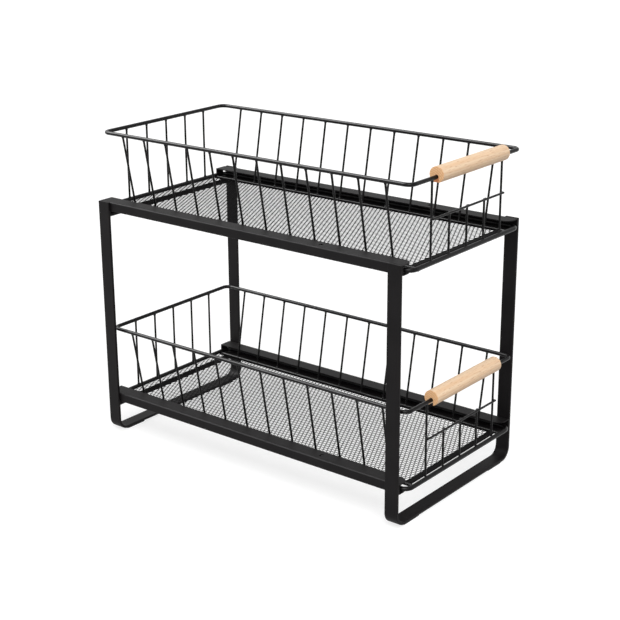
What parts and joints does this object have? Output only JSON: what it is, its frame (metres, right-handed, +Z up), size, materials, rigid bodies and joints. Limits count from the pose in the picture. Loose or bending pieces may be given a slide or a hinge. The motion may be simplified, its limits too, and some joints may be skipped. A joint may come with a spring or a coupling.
{
  "type": "two-tier drawer organizer",
  "caption": "Free-standing rack of bent flat bar with wire baskets that slide out on channel rails, each with a mesh floor and a wooden dowel handle.",
  "frame": {"origin": "on the floor, under the middle of the bounding box, handles included", "axes": "+Z up, the handles face -Y and the baskets slide out towards -Y, +X is right as seen from the front"},
  "size_m": [0.222, 0.4312, 0.3724],
  "materials": {
    "black_steel": "matt black powder coat on steel bar, sheet and wire",
    "pale_wood": "pale sanded wood, matt",
    "foot_rubber": "matt black"
  },
  "bodies": {
    "stand": {"front_u_frame": "black_steel", "rear_u_frame": "black_steel", "foot_pads": "foot_rubber", "upper_left_rail": "black_steel", "upper_right_rail": "black_steel", "upper_rear_tie_rod": "black_steel", "lower_left_rail": "black_steel", "lower_right_rail": "black_steel", "lower_rear_tie_rod": "black_steel"},
    "upper_drawer": {"upper_rim_wire": "black_steel", "upper_runner_loop": "black_steel", "upper_left_base_rod": "black_steel", "upper_right_base_rod": "black_steel", "upper_left_side_wires": "black_steel", "upper_right_side_wires": "black_steel", "upper_back_wires": "black_steel", "upper_front_posts": "black_steel", "upper_front_short_wires": "black_steel", "upper_front_mid_wire": "black_steel", "upper_mesh_hem_frame": "black_steel", "upper_mesh_floor": "black_steel", "upper_handle": "pale_wood", "upper_stop_nubs": "black_steel"},
    "lower_drawer": {"lower_rim_wire": "black_steel", "lower_runner_loop": "black_steel", "lower_left_base_rod": "black_steel", "lower_right_base_rod": "black_steel", "lower_left_side_wires": "black_steel", "lower_right_side_wires": "black_steel", "lower_back_wires": "black_steel", "lower_front_posts": "black_steel", "lower_front_short_wires": "black_steel", "lower_front_mid_wire": "black_steel", "lower_mesh_hem_frame": "black_steel", "lower_mesh_floor": "black_steel", "lower_handle": "pale_wood", "lower_stop_nubs": "black_steel"}
  },
  "joints": [
    {"name": "upper_drawer_slide", "type": "slide", "parent": "stand", "child": "upper_drawer", "axis": [0, -1, 0], "range_m": [0, 0.28]},
    {"name": "lower_drawer_slide", "type": "slide", "parent": "stand", "child": "lower_drawer", "axis": [0, -1, 0], "range_m": [0, 0.28]}
  ]
}
